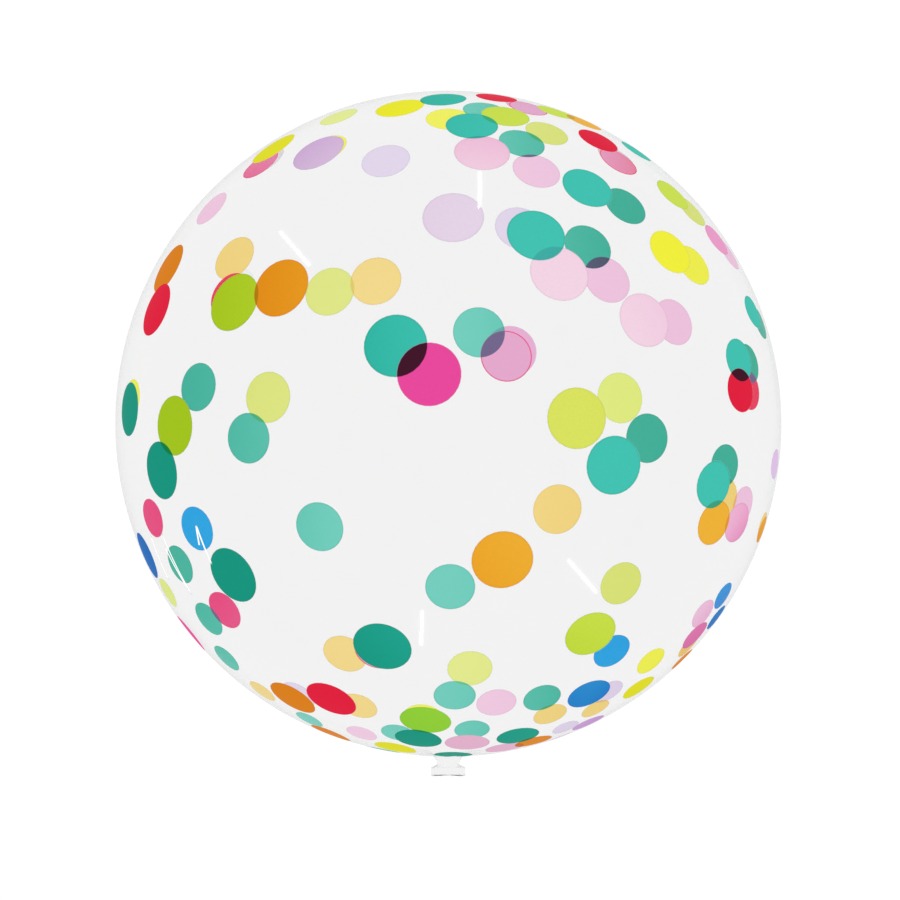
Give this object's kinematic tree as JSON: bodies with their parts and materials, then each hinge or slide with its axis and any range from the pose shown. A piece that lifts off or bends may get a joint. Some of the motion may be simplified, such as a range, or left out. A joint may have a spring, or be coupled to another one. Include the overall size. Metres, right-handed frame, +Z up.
{
  "type": "clear bubble balloon",
  "caption": "Round clear film bubble balloon with a round confetti print and a short welded neck, lying on its side.",
  "frame": {"origin": "middle of the small flat spot that the bubble lies on, on the surface under it", "axes": "+Z up, from the flat spot through the ball's middle; -Y along the level neck, out of its welded end; +Y towards the crown; +X to the right with the neck towards the viewer"},
  "size_m": [0.45, 0.466, 0.4486],
  "materials": {
    "film": "clear glossy film printed with round dots in many colours"
  },
  "bodies": {
    "root": {"bubble": "film"}
  },
  "joints": []
}
